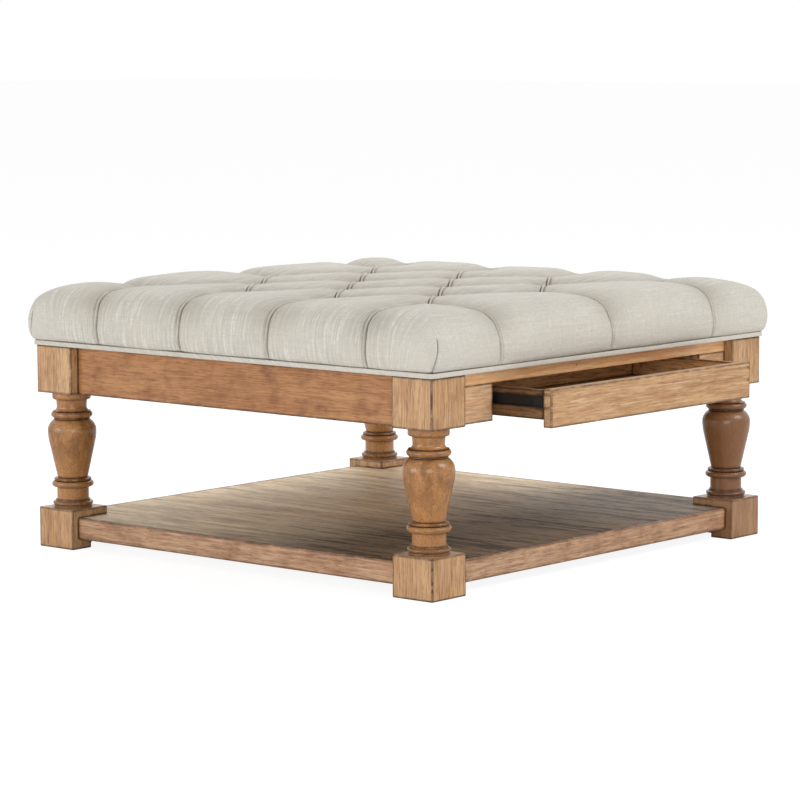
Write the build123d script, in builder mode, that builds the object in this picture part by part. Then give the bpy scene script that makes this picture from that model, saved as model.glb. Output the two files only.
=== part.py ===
from build123d import *
import math
import os

# A square ottoman coffee table, in millimetres.
# +Z is up, +X is to the right and the drawer faces -Y. The origin is on the floor, at the middle of
# the outline of the table with its drawer part open. Names that end in _share or _shares are shares.

os.makedirs("parts", exist_ok=True)

# Overall sizes
leg_span = 990
frame_top = 390
cushion_top = 508
drawer_travel_open = 125

# Legs
leg_block = 92
foot_height = 76.5
foot_arm = 47.3
arris = 1.5
plinth_height = 4.2
plinth_radius = 36
base_ring_height = 7.3
base_ring_radius = 38.4
base_step_height = 3.5
base_step_radius = 33
shaft_height = 24
shaft_radius = 30.3
lower_ring_height = 11.5
lower_ring_radius = 39.8
bead_height = 6.2
bead_radius = 35.6
vase_foot_radius = 28.5
vase_belly_radius = 46.5
vase_top_radius = 33.5
lip_height = 3.2
lip_radius = 34.8
neck_ring_height = 12
neck_ring_radius = 39.6
quirk_height = 0.8
quirk_radius = 33.8
cove_radius = 8
neck_radius = 28.5
neck_length = 14.5
collar_height = 14
collar_radius = 37
collar_edge_radius = 3.8
collar_root_radius = 29.8
ring_round_share = 0.95
vase_taper_share = 0.6
vase_belly_share = 0.805
vase_taper_radius_share = 0.94

# Aprons, front rail and stiles
apron_height = 91.5
apron_thickness = 20
apron_inset = 19.5
front_rail_height = 23.2
opening_width = 625
opening_offset = 7

# Joinery of the frame
dowel_radius = 5
dowel_length = 36
dowel_clearance = 0.1
brace_run = 55
brace_height = 45
brace_seat = 30
bolt_radius = 4
bolt_length = 70
bolt_clearance = 0.2
bolt_tail = 13
nut_width = 13
nut_height = 6.5
washer_radius = 9
washer_thickness = 1.6
deck_screw_radius = 2
deck_screw_bite = 6
deck_screw_head_radius = 4
deck_screw_head_height = 2.4
deck_screw_side = 18
screw_clearance = 0.1

# Shelf
shelf_clearance_below = 19.8
shelf_thickness = 41
shelf_inset = 14.3
shelf_edge_width = 22
shelf_lip = 6
shelf_panel_thickness = 18
shelf_batten_width = 45
shelf_block_side = 70
shelf_arris = 2
shelf_screw_radius = 2.2
shelf_screw_bite = 12
shelf_screw_head_radius = 4.4
shelf_screw_head_height = 2.6

# Deck, its bearers and the fabric band round its edge
deck_thickness = 9
deck_corner = 8
band_overhang = 5
band_thickness = 1.2
bearer_width = 40
bearer_height = 28
bearer_distance = 168

# Drawer
drawer_side_gap = 10
drawer_top_gap = 5.5
drawer_front_height = 68
drawer_front_thickness = 19
drawer_inner_depth = 247
drawer_side_thickness = 12.5
drawer_side_height = 52
drawer_side_drop = 2
drawer_back_thickness = 12
drawer_bottom_thickness = 4
drawer_bottom_rise = 8
drawer_groove_depth = 5
drawer_groove_play = 0.2
drawer_arris = 1.2
drawer_joint_margin = 8
drawer_dowel_radius = 2.5
drawer_dowel_length = 30
drawer_screw_radius = 1.8
drawer_screw_length = 34
drawer_screw_head_radius = 3.4
drawer_screw_head_height = 2.2
brad_radius = 0.8
brad_length = 16
brad_head_radius = 1.6
brad_head_height = 0.6
brad_count = 6

# Slides: a cabinet member on a cheek, a ball cage, and a drawer member
cheek_thickness = 18
cheek_height = 56
slide_length = 250
slide_start = 1.5
slide_sheet = 1.2
slide_height = 30
slide_flange = 8.2
slide_rise = 31
runner_height = 19.5
runner_flange = 6
cage_play = 2
cage_sheet = 0.7
cage_stand = 2.9
cage_flange = 4.9
drawer_travel_total = 190
ball_radius = 1.7
ball_hole_clearance = 0.15
ball_count = 5
ball_pitch = 10
slide_screw_radius = 1.6
slide_screw_length = 11
slide_screw_head_radius = 3
slide_screw_head_height = 1.3
slide_screw_count = 3
slide_screw_inset = 25

# Cushion
cushion_bulge = 13
cushion_seat_gap = 0.3
seam_setback = 8
shoulder_run = 95
band_corner = 9.2
cushion_corner = 22
widest_share = 0.34
shoulder_power = 2.5
corner_growth_share = 0.55
lower_sections = 2
upper_section_shares = (0.3, 0.55, 0.75, 0.88, 0.96, 1)
tuft_pitch_x = 325
tuft_pitch_y = 225
tuft_columns = 2
tuft_rows = 3
valley_depth = 24
crest_rise = 3
channel_half_width = 92
dish_half_width = 88
dish_extra_depth = 1.5
pocket_depth = 45
pocket_mouth = 45
pocket_mouth_slope_share = 0.4
pleat_half_width = 42
pleat_side_half_width = 26
pleat_shoulder_setback = 20
pleat_shoulder_depth = 34
corner_fold_depth = 9
corner_fold_half_width = 12
button_radius = 11
button_height = 5
button_gap = 0.3
tie_radius = 1
tie_clearance = 0.3
toggle_radius = 12
toggle_thickness = 3
knot_radius = 2.5
overrun = 20

# Places worked out from those sizes
half_span = leg_span / 2
leg_inner = half_span - leg_block
leg_centre = half_span - leg_block / 2
apron_face = half_span - apron_inset
apron_back = apron_face - apron_thickness
apron_middle = apron_face - apron_thickness / 2
block_bottom = frame_top - apron_height
rail_bottom = frame_top - front_rail_height
shelf_top = shelf_clearance_below + shelf_thickness
deck_top = frame_top + deck_thickness
cushion_half = half_span + cushion_bulge
table_y = (apron_face + drawer_travel_open - cushion_half) / 2
upper_dowel_z = frame_top - front_rail_height / 2
lower_dowel_z = (block_bottom + rail_bottom) / 2
corner_turns = {"front_left": 0, "front_right": 90, "rear_right": 180, "rear_left": 270}
side_turns = {"front": 0, "right": 90, "rear": 180, "left": 270}


def level(height, turn=0):
    """A horizontal plane over the middle of the table, turned about it by some degrees."""
    angle = math.radians(turn)
    return Plane(origin=(0, table_y, height), x_dir=(math.cos(angle), math.sin(angle), 0), z_dir=(0, 0, 1))


def across(turn, x, y, height):
    """An upright plane at a point of a side, whose normal runs along that side."""
    base = level(height, turn)
    return Plane(origin=base.from_local_coords((x, y, 0)), x_dir=base.y_dir, z_dir=base.x_dir)


def diagonal(turn, distance, height):
    """An upright plane that faces a corner of the table, at a distance from the middle."""
    base = level(height, turn)
    outward = (base.x_dir + base.y_dir).normalized() * -1
    return Plane(origin=base.origin + outward * distance, x_dir=(0, 0, 1), z_dir=outward)


def save(piece, name):
    """Labels a finished piece and writes its file."""
    piece.part.label = name
    export_step(piece.part, f"parts/{name}.step")


def board(x_low, x_high, y_low, y_high, z_low, z_high, turn=0, eased=0):
    """A rectangular board, given by its limits from the middle of the table."""
    with BuildPart() as plank:
        with BuildSketch(level(z_low, turn)):
            with Locations(((x_low + x_high) / 2, (y_low + y_high) / 2)):
                Rectangle(x_high - x_low, y_high - y_low)
        extrude(amount=z_high - z_low)
        if eased:
            chamfer(plank.edges(), eased)
    return plank


def cut_holes(plane, spots, radius, depth, both=False):
    """Cuts round holes in the open part, from a plane inwards."""
    with BuildSketch(plane) as holes:
        with Locations(*spots):
            Circle(radius)
    extrude(holes.sketch, amount=depth, both=both, mode=Mode.SUBTRACT)


def add_screws(plane, spots, radius, length, head_radius, head_height):
    """Adds headed screws to the open part. The plane is where the heads bear."""
    with BuildSketch(plane) as shanks:
        with Locations(*spots):
            Circle(radius)
    extrude(shanks.sketch, amount=length)
    with BuildSketch(plane) as heads:
        with Locations(*spots):
            Circle(head_radius)
    extrude(heads.sketch, amount=-head_height)


# Legs: a foot block, a turned baluster and an upper block, in one piece
brace_z = frame_top - brace_height / 2
brace_reach = leg_inner + apron_back - brace_run
brace_face = brace_reach / math.sqrt(2)
bolt_start = brace_face - bolt_tail
deck_screw_spot = ((leg_inner - deck_screw_side), (apron_back - deck_screw_side))
shelf_screw_spot = leg_inner + (leg_block - foot_arm) / 2


def add_ring(crest, low, height):
    """Adds a rounded ring to the open outline and gives the radius where it starts and ends."""
    root = crest - height / 2 * ring_round_share
    ThreePointArc((root, low), (crest, low + height / 2), (root, low + height))
    return root


def outline_of_turning():
    """Half of the turned part's section, from the foot block up to the upper block."""
    base_ring_low = foot_height + plinth_height
    base_step_low = base_ring_low + base_ring_height
    shaft_low = base_step_low + base_step_height
    lower_ring_low = shaft_low + shaft_height
    bead_low = lower_ring_low + lower_ring_height
    vase_low = bead_low + bead_height
    collar_low = block_bottom - collar_height
    cove_low = collar_low - neck_length - cove_radius
    neck_ring_low = cove_low - quirk_height - neck_ring_height
    lip_low = neck_ring_low - lip_height
    vase_rise = lip_low - vase_low
    taper_end = (vase_belly_radius * vase_taper_radius_share, vase_low + vase_rise * vase_taper_share)
    belly = (vase_belly_radius, vase_low + vase_rise * vase_belly_share)
    cove_edge = (neck_radius + cove_radius, cove_low)
    cove_end = (neck_radius, cove_low + cove_radius)
    with BuildLine() as outline:
        base_root = add_ring(base_ring_radius, base_ring_low, base_ring_height)
        lower_root = add_ring(lower_ring_radius, lower_ring_low, lower_ring_height)
        bead_root = add_ring(bead_radius, bead_low, bead_height)
        lip_root = add_ring(lip_radius, lip_low, lip_height)
        neck_root = add_ring(neck_ring_radius, neck_ring_low, neck_ring_height)
        Polyline(
            (0, foot_height - arris),
            (plinth_radius, foot_height - arris),
            (plinth_radius, base_ring_low),
            (base_root, base_ring_low),
        )
        Polyline(
            (base_root, base_step_low),
            (base_step_radius, base_step_low),
            (base_step_radius, shaft_low),
            (shaft_radius, shaft_low),
            (shaft_radius, lower_ring_low),
            (lower_root, lower_ring_low),
        )
        Line((lower_root, bead_low), (bead_root, bead_low))
        Polyline((bead_root, vase_low), (vase_foot_radius, vase_low), taper_end)
        TangentArc(belly, taper_end, tangent=(0, -1))
        TangentArc(belly, (vase_top_radius, lip_low), tangent=(0, 1))
        Line((vase_top_radius, lip_low), (lip_root, lip_low))
        Line((lip_root, neck_ring_low), (neck_root, neck_ring_low))
        Polyline(
            (neck_root, neck_ring_low + neck_ring_height),
            (quirk_radius, neck_ring_low + neck_ring_height),
            (quirk_radius, cove_low),
            cove_edge,
        )
        TangentArc(cove_end, cove_edge, tangent=(0, -1))
        Polyline(
            cove_end,
            (collar_root_radius, collar_low),
            (collar_radius - collar_edge_radius, collar_low),
        )
        TangentArc(
            (collar_radius, collar_low + collar_edge_radius),
            (collar_radius - collar_edge_radius, collar_low),
            tangent=(0, -1),
        )
        Polyline(
            (collar_radius, collar_low + collar_edge_radius),
            (collar_radius, block_bottom + arris),
            (0, block_bottom + arris),
            (0, foot_height - arris),
        )
    return outline


for name, turn in corner_turns.items():
    leg_axis = level(0, turn).from_local_coords((-leg_centre, -leg_centre, 0))
    with BuildPart() as leg:
        with BuildSketch(level(0, turn)):
            with Locations((-leg_centre, -leg_centre)):
                Rectangle(leg_block, leg_block)
        extrude(amount=foot_height)
        chamfer(leg.edges(), arris)
        with BuildSketch(level(0, turn)):
            with Locations((-leg_inner, -leg_inner)):
                Rectangle(leg_block - foot_arm, leg_block - foot_arm, align=(Align.MAX, Align.MAX))
        extrude(amount=shelf_top, mode=Mode.SUBTRACT)
        with BuildSketch(level(block_bottom, turn)):
            with Locations((-leg_centre, -leg_centre)):
                Rectangle(leg_block, leg_block)
        extrude(amount=apron_height)
        chamfer(leg.edges(Select.LAST), arris)
        with BuildSketch(Plane(origin=leg_axis, x_dir=(1, 0, 0), z_dir=(0, -1, 0))):
            add(outline_of_turning().line)
            make_face()
        revolve(axis=Axis(leg_axis, (0, 0, 1)))
        with BuildSketch(level(frame_top - brace_height, turn)):
            with BuildLine():
                Polyline(
                    (-leg_inner, -leg_inner),
                    (-leg_inner - brace_seat, -leg_inner),
                    (-leg_inner, -leg_inner - brace_seat),
                    close=True,
                )
            make_face()
        extrude(amount=brace_height, mode=Mode.SUBTRACT)
        dowel_spots = [(0, upper_dowel_z), (0, lower_dowel_z)]
        hole_depth = (dowel_length + dowel_clearance) / 2
        cut_holes(across(turn, -leg_inner, -apron_middle, 0), dowel_spots, dowel_radius, hole_depth, both=True)
        cut_holes(across(turn - 90, leg_inner, -apron_middle, 0), dowel_spots, dowel_radius, hole_depth, both=True)
        cut_holes(diagonal(turn, bolt_start, brace_z), [(0, 0)], bolt_radius + bolt_clearance, bolt_length)
        cut_holes(
            level(shelf_top, turn),
            [(-shelf_screw_spot, -shelf_screw_spot)],
            shelf_screw_radius + screw_clearance,
            shelf_screw_bite + screw_clearance,
        )
    save(leg, f"leg_{name}")

# Aprons on the left, right and rear, and a narrow rail over two stiles in front
stile_edges = {
    "left": (-leg_inner, opening_offset - opening_width / 2),
    "right": (opening_offset + opening_width / 2, leg_inner),
}
for name in ("right", "rear", "left"):
    turn = side_turns[name]
    with board(
        -leg_inner, leg_inner, -apron_face, -apron_back, block_bottom, frame_top, turn
    ) as apron:
        for end in (-leg_inner, leg_inner):
            cut_holes(across(turn, end, -apron_middle, 0), dowel_spots, dowel_radius, hole_depth, both=True)
    save(apron, f"apron_{name}")

with board(-leg_inner, leg_inner, -apron_face, -apron_back, rail_bottom, frame_top) as front_rail:
    for end in (-leg_inner, leg_inner):
        cut_holes(across(0, end, -apron_middle, 0), dowel_spots[:1], dowel_radius, hole_depth, both=True)
save(front_rail, "front_rail")

for name, (x_low, x_high) in stile_edges.items():
    end = -leg_inner if name == "left" else leg_inner
    with board(x_low, x_high, -apron_face, -apron_back, block_bottom, rail_bottom) as stile:
        cut_holes(across(0, end, -apron_middle, 0), dowel_spots[1:], dowel_radius, hole_depth, both=True)
    save(stile, f"front_stile_{name}")

with BuildPart() as frame_dowels:
    for turn in side_turns.values():
        for end in (-leg_inner, leg_inner):
            with BuildSketch(across(turn, end, -apron_middle, 0)):
                with Locations(*dowel_spots):
                    Circle(dowel_radius - dowel_clearance)
            extrude(amount=dowel_length / 2, both=True)
save(frame_dowels, "frame_dowels")

# Corner braces, each pulled to its leg by a hanger bolt, a washer and a nut
deck_screw_spots = [
    (-deck_screw_spot[0], -deck_screw_spot[1]),
    (-deck_screw_spot[1], -deck_screw_spot[0]),
]
for name, turn in corner_turns.items():
    with BuildPart() as brace:
        with BuildSketch(level(frame_top - brace_height, turn)):
            with BuildLine():
                Polyline(
                    (-leg_inner, -apron_back),
                    (-leg_inner + brace_run, -apron_back),
                    (-apron_back, -leg_inner + brace_run),
                    (-apron_back, -leg_inner),
                    (-leg_inner - brace_seat, -leg_inner),
                    (-leg_inner, -leg_inner - brace_seat),
                    close=True,
                )
            make_face()
        extrude(amount=brace_height)
        cut_holes(diagonal(turn, bolt_start, brace_z), [(0, 0)], bolt_radius + bolt_clearance, bolt_length)
        cut_holes(
            level(frame_top - brace_height, turn),
            deck_screw_spots,
            deck_screw_radius + screw_clearance,
            brace_height,
        )
    save(brace, f"corner_brace_{name}")

with BuildPart() as hanger_bolts:
    for turn in corner_turns.values():
        with BuildSketch(diagonal(turn, bolt_start, brace_z)):
            Circle(bolt_radius)
        extrude(amount=bolt_length)
save(hanger_bolts, "hanger_bolts")

with BuildPart() as bolt_washers:
    for turn in corner_turns.values():
        with BuildSketch(diagonal(turn, brace_face - washer_thickness, brace_z)):
            Circle(washer_radius)
            Circle(bolt_radius + bolt_clearance, mode=Mode.SUBTRACT)
        extrude(amount=washer_thickness)
save(bolt_washers, "bolt_washers")

with BuildPart() as bolt_nuts:
    for turn in corner_turns.values():
        with BuildSketch(diagonal(turn, brace_face - washer_thickness - nut_height, brace_z)):
            RegularPolygon(nut_width / 2, 6, major_radius=False)
            Circle(bolt_radius + screw_clearance, mode=Mode.SUBTRACT)
        extrude(amount=nut_height)
save(bolt_nuts, "bolt_nuts")

with BuildPart() as deck_screws:
    for turn in corner_turns.values():
        add_screws(
            level(frame_top - brace_height, turn),
            deck_screw_spots,
            deck_screw_radius,
            brace_height + deck_screw_bite,
            deck_screw_head_radius,
            deck_screw_head_height,
        )
save(deck_screws, "deck_screws")

# Shelf: a panel set in rebated edge boards, over battens and corner blocks, notched round the feet
panel_low = shelf_top - shelf_panel_thickness
shelf_edge = half_span - shelf_inset
panel_edge = shelf_edge - shelf_lip
arm_inner = half_span - foot_arm
edge_inner = shelf_edge - shelf_edge_width
for name, turn in side_turns.items():
    with BuildPart() as edge_board:
        with BuildSketch(across(turn, -leg_inner, 0, 0)):
            with BuildLine():
                Polyline(
                    (-shelf_edge, shelf_clearance_below),
                    (-edge_inner, shelf_clearance_below),
                    (-edge_inner, panel_low),
                    (-panel_edge, panel_low),
                    (-panel_edge, shelf_top),
                    (-shelf_edge, shelf_top),
                    close=True,
                )
            make_face()
        extrude(amount=leg_inner * 2)
        along = Axis(level(0, turn).origin, level(0, turn).x_dir)
        outward = Axis(level(0, turn).origin, level(0, turn).y_dir * -1)
        chamfer(edge_board.edges().filter_by(along).group_by(outward)[-1], shelf_arris)
    save(edge_board, f"shelf_edge_{name}")

with BuildPart() as shelf_panel:
    with BuildSketch(level(panel_low)):
        Rectangle(panel_edge * 2, panel_edge * 2)
    extrude(amount=shelf_panel_thickness)
    for turn in corner_turns.values():
        with BuildSketch(level(panel_low, turn)):
            with BuildLine():
                Polyline(
                    (-leg_inner, -panel_edge - overrun),
                    (-leg_inner, -arm_inner),
                    (-arm_inner, -arm_inner),
                    (-arm_inner, -leg_inner),
                    (-panel_edge - overrun, -leg_inner),
                    (-panel_edge - overrun, -panel_edge - overrun),
                    close=True,
                )
            make_face()
        extrude(amount=shelf_panel_thickness, mode=Mode.SUBTRACT)
        cut_holes(
            level(panel_low, turn),
            [(-shelf_screw_spot, -shelf_screw_spot)],
            shelf_screw_radius + screw_clearance,
            shelf_panel_thickness,
        )
save(shelf_panel, "shelf_panel")

batten_distance = leg_inner / 2
for name, side in {"front": -1, "rear": 1}.items():
    batten_y = side * batten_distance
    batten = board(
        -edge_inner,
        edge_inner,
        batten_y - shelf_batten_width / 2,
        batten_y + shelf_batten_width / 2,
        shelf_clearance_below,
        panel_low,
    )
    save(batten, f"shelf_batten_{name}")

for name, turn in corner_turns.items():
    with board(
        -arm_inner,
        shelf_block_side - arm_inner,
        -arm_inner,
        shelf_block_side - arm_inner,
        shelf_clearance_below,
        panel_low,
        turn,
    ) as shelf_block:
        cut_holes(
            level(shelf_clearance_below, turn),
            [(-shelf_screw_spot, -shelf_screw_spot)],
            shelf_screw_radius + screw_clearance,
            panel_low - shelf_clearance_below,
        )
    save(shelf_block, f"shelf_block_{name}")

with BuildPart() as shelf_screws:
    for turn in corner_turns.values():
        add_screws(
            level(shelf_clearance_below, turn),
            [(-shelf_screw_spot, -shelf_screw_spot)],
            shelf_screw_radius,
            shelf_thickness + shelf_screw_bite,
            shelf_screw_head_radius,
            shelf_screw_head_height,
        )
save(shelf_screws, "shelf_screws")

# Tufts stand on a diamond grid. Every pair of neighbours is joined by a channel of the cushion.
tufts = {
    (i, j): (i * tuft_pitch_x / 2, j * tuft_pitch_y / 2)
    for i in range(-tuft_columns, tuft_columns + 1)
    for j in range(-tuft_rows, tuft_rows + 1)
    if (i + j) % 2
}
tuft_spots = list(tufts.values())
edge_tufts = [spot for (i, j), spot in tufts.items() if abs(i) == tuft_columns or abs(j) == tuft_rows]

# Deck board, the bearers under it, and the fabric band round its edge
band_edge = half_span + band_overhang
with BuildPart() as deck_board:
    with BuildSketch(level(frame_top)):
        RectangleRounded((band_edge - band_thickness) * 2, (band_edge - band_thickness) * 2, deck_corner)
    extrude(amount=deck_thickness)
    cut_holes(level(frame_top), tuft_spots, tie_radius + tie_clearance, deck_thickness)
    for turn in corner_turns.values():
        cut_holes(
            level(frame_top, turn),
            deck_screw_spots,
            deck_screw_radius + screw_clearance,
            deck_screw_bite + screw_clearance,
        )
save(deck_board, "deck_board")

with BuildPart() as edge_band:
    with BuildSketch(level(frame_top)):
        RectangleRounded(band_edge * 2, band_edge * 2, deck_corner + band_thickness)
        RectangleRounded(
            (band_edge - band_thickness) * 2,
            (band_edge - band_thickness) * 2,
            deck_corner,
            mode=Mode.SUBTRACT,
        )
    extrude(amount=deck_thickness)
save(edge_band, "edge_band")

bearer_low = frame_top - bearer_height
for name, side in {"front": -1, "rear": 1}.items():
    bearer_y = side * bearer_distance
    bearer = board(
        -apron_back,
        apron_back,
        bearer_y - bearer_width / 2,
        bearer_y + bearer_width / 2,
        bearer_low,
        frame_top,
    )
    save(bearer, f"deck_bearer_{name}")

# Cushion: a crowned body with drawn-in sides, cut by channels, tuft pockets and side pleats
cushion_bottom = deck_top + cushion_seat_gap
cushion_rise = cushion_top - cushion_bottom
widest_z = cushion_bottom + cushion_rise * widest_share
valley_z = cushion_top - valley_depth
crest_z = cushion_top + crest_rise
roof_z = cushion_top + overrun
pocket_z = cushion_top - pocket_depth
shoulder_z = cushion_top - pleat_shoulder_depth
shoulder_reach = cushion_half - pleat_shoulder_setback


def section_of_cushion(height):
    """Half the width and the corner radius of the cushion at a height."""
    if height < widest_z:
        share = ((widest_z - height) / (widest_z - cushion_bottom)) ** 2
        corner = cushion_corner + (band_corner - cushion_corner) * share
        return cushion_half - seam_setback * share, corner
    share = (height - widest_z) / (cushion_top - widest_z)
    setback = shoulder_run * (1 - math.sqrt(1 - share**shoulder_power))
    return cushion_half - setback, cushion_corner + setback * corner_growth_share


def groove(plane, half_width, low, high, roof):
    """The section of a channel between two swelling puffs, as a sketch on a plane."""
    with BuildSketch(plane) as section:
        with BuildLine():
            TangentArc((half_width, high), (0, low), tangent=(-1, 0))
            TangentArc((-half_width, high), (0, low), tangent=(1, 0))
            Polyline((half_width, high), (half_width, roof), (-half_width, roof), (-half_width, high))
        make_face()
    return section.sketch


with BuildPart(mode=Mode.PRIVATE) as dish_cutter:
    with BuildSketch(Plane.XZ):
        with BuildLine():
            TangentArc((dish_half_width, crest_z), (0, valley_z - dish_extra_depth), tangent=(-1, 0))
            Polyline(
                (0, valley_z - dish_extra_depth),
                (0, roof_z),
                (dish_half_width, roof_z),
                (dish_half_width, crest_z),
            )
        make_face()
    revolve(axis=Axis.Z)

floor_radius = button_radius + button_gap
with BuildPart(mode=Mode.PRIVATE) as pocket_cutter:
    with BuildSketch(Plane.XZ):
        with BuildLine():
            TangentArc(
                (pocket_mouth, cushion_top),
                (floor_radius, pocket_z),
                tangent=(-1, -pocket_mouth_slope_share),
            )
            Polyline(
                (floor_radius, pocket_z),
                (0, pocket_z),
                (0, roof_z),
                (pocket_mouth, roof_z),
                (pocket_mouth, cushion_top),
            )
        make_face()
    revolve(axis=Axis.Z)

with BuildPart() as cushion:
    heights = [
        cushion_bottom + (widest_z - cushion_bottom) * step / lower_sections for step in range(lower_sections + 1)
    ]
    heights += [widest_z + (cushion_top - widest_z) * share for share in upper_section_shares]
    for height in heights:
        half_width, corner = section_of_cushion(height)
        with BuildSketch(level(height)):
            RectangleRounded(half_width * 2, half_width * 2, corner)
    loft()
    for slope in (-1, 1):
        for (i, j), (x, y) in tufts.items():
            if (i - 1, j - slope) in tufts or (i + 1, j + slope) not in tufts:
                continue
            steps = 1
            while (i + steps + 1, j + slope * (steps + 1)) in tufts:
                steps += 1
            run = Vector(tuft_pitch_x / 2, slope * tuft_pitch_y / 2, 0)
            start = level(0).from_local_coords((x, y, 0))
            side_way = Vector(-run.Y, run.X, 0)
            channel = groove(
                Plane(origin=start, x_dir=side_way, z_dir=run),
                channel_half_width,
                valley_z,
                crest_z,
                roof_z,
            )
            extrude(channel, amount=run.length * steps, mode=Mode.SUBTRACT)
    with Locations(*[level(0).from_local_coords((x, y, 0)) for x, y in edge_tufts]):
        add(dish_cutter.part, mode=Mode.SUBTRACT)
    with Locations(*[level(0).from_local_coords((x, y, 0)) for x, y in tuft_spots]):
        add(pocket_cutter.part, mode=Mode.SUBTRACT)
    for turn in side_turns.values():
        short_way = turn % 180 == 0
        row = tuft_rows * tuft_pitch_y / 2 if short_way else tuft_columns * tuft_pitch_x / 2
        spots = [x if short_way else y for x, y in tuft_spots if (abs(y) if short_way else abs(x)) == row]
        for spot in sorted(set(spots)):
            base = level(0, turn)
            tuft_point = base.from_local_coords((spot, -row, valley_z))
            shoulder_point = base.from_local_coords((spot, -shoulder_reach, shoulder_z))
            seam_point = base.from_local_coords((spot, seam_setback - cushion_half, cushion_bottom))
            top_run = shoulder_point - tuft_point
            top_pleat = groove(
                Plane(origin=tuft_point, x_dir=base.x_dir, z_dir=top_run),
                pleat_half_width,
                0,
                valley_depth + crest_rise,
                valley_depth + overrun,
            )
            extrude(top_pleat, amount=top_run.length + overrun, mode=Mode.SUBTRACT)
            side_run = shoulder_point - seam_point
            side_pleat = groove(
                Plane(origin=seam_point, x_dir=base.x_dir * -1, z_dir=side_run),
                pleat_side_half_width,
                0,
                pleat_shoulder_setback,
                pleat_shoulder_setback + overrun,
            )
            extrude(side_pleat, amount=side_run.length + overrun, mode=Mode.SUBTRACT)
    for turn in corner_turns.values():
        base = level(cushion_bottom, turn)
        outward = (base.x_dir + base.y_dir).normalized() * -1
        corner_reach = cushion_half * math.sqrt(2) - cushion_corner * (math.sqrt(2) - 1)
        fold = groove(
            Plane(origin=base.origin, x_dir=outward.cross(Vector(0, 0, 1)), z_dir=(0, 0, 1)),
            corner_fold_half_width,
            corner_reach - corner_fold_depth,
            corner_reach,
            corner_reach + overrun,
        )
        extrude(fold, amount=cushion_rise, mode=Mode.SUBTRACT)
    cut_holes(level(cushion_bottom), tuft_spots, tie_radius + tie_clearance, cushion_rise)
save(cushion, "cushion")

# Tuft buttons with their ties, which go through the deck to toggles
with BuildPart() as tuft_buttons:
    with BuildSketch(level(pocket_z + button_gap)):
        with Locations(*tuft_spots):
            Circle(button_radius)
    extrude(amount=button_height)
    fillet(tuft_buttons.edges().group_by(Axis.Z)[-1], button_height / 2)
    with BuildSketch(level(frame_top - toggle_thickness - knot_radius)) as ties:
        with Locations(*tuft_spots):
            Circle(tie_radius)
    extrude(amount=pocket_z + button_gap - frame_top + toggle_thickness + knot_radius)
    with BuildSketch(level(frame_top - toggle_thickness - knot_radius)):
        with Locations(*tuft_spots):
            Circle(knot_radius)
    extrude(amount=knot_radius)
save(tuft_buttons, "tuft_buttons")

with BuildPart() as tuft_toggles:
    with BuildSketch(level(frame_top - toggle_thickness)):
        with Locations(*tuft_spots):
            Circle(toggle_radius)
            Circle(tie_radius + tie_clearance, mode=Mode.SUBTRACT)
    extrude(amount=toggle_thickness)
save(tuft_toggles, "tuft_toggles")

# Drawer: a front, two sides, a back and a bottom in grooves
front_width = opening_width - drawer_side_gap * 2
front_top = rail_bottom - drawer_top_gap
front_low = front_top - drawer_front_height
front_face = -apron_face - drawer_travel_open
front_back = front_face + drawer_front_thickness
drawer_left = opening_offset - front_width / 2
drawer_right = opening_offset + front_width / 2
side_top = front_top - drawer_side_drop
side_low = side_top - drawer_side_height
bottom_low = side_low + drawer_bottom_rise
bottom_top = bottom_low + drawer_bottom_thickness
back_face = front_back + drawer_inner_depth
drawer_end = back_face + drawer_back_thickness
groove_low = bottom_low - drawer_groove_play
groove_height = drawer_bottom_thickness + drawer_groove_play * 2
slide_z = side_low + slide_rise
inner_width = front_width - drawer_side_thickness * 2
joint_heights = (bottom_top + drawer_joint_margin, side_top - drawer_joint_margin)
back_middle = back_face + drawer_back_thickness / 2
brad_step = inner_width / brad_count
brad_spots = [
    (opening_offset + brad_step * (step - (brad_count - 1) / 2), back_middle) for step in range(brad_count)
]
sides = {"left": (1, drawer_left), "right": (-1, drawer_right)}


def beside(way, x, height):
    """An upright plane along the table. It faces right where the way is 1, and left where it is -1."""
    return Plane(origin=(x, table_y, height), x_dir=(0, 1, 0), z_dir=(way, 0, 0))


def cut_groove(x, y, x_size, y_size):
    """Cuts the groove for the drawer bottom into the open part."""
    with BuildSketch(level(groove_low)) as slot:
        with Locations((x, y)):
            Rectangle(x_size, y_size)
    extrude(slot.sketch, amount=groove_height, mode=Mode.SUBTRACT)


def cut_front_dowels(x):
    """Cuts the dowel holes between the front and a side into the open part."""
    spots = [(0, height) for height in joint_heights]
    depth = (drawer_dowel_length + dowel_clearance) / 2
    cut_holes(across(90, front_back, -x, 0), spots, drawer_dowel_radius, depth, both=True)


with board(
    drawer_left, drawer_right, front_face, front_back, front_low, front_top, eased=drawer_arris
) as drawer_front:
    cut_groove(opening_offset, front_back, inner_width + drawer_groove_depth * 2, drawer_groove_depth * 2)
    for way, x in sides.values():
        cut_front_dowels(x + way * drawer_side_thickness / 2)
save(drawer_front, "drawer_front")

bottom_reach = inner_width / 2 + drawer_groove_depth - drawer_groove_play
with board(
    opening_offset - bottom_reach,
    opening_offset + bottom_reach,
    front_back - drawer_groove_depth + drawer_groove_play,
    drawer_end,
    bottom_low,
    bottom_top,
) as drawer_bottom:
    cut_holes(level(bottom_low), brad_spots, brad_radius + screw_clearance, drawer_bottom_thickness)
save(drawer_bottom, "drawer_bottom")

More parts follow.
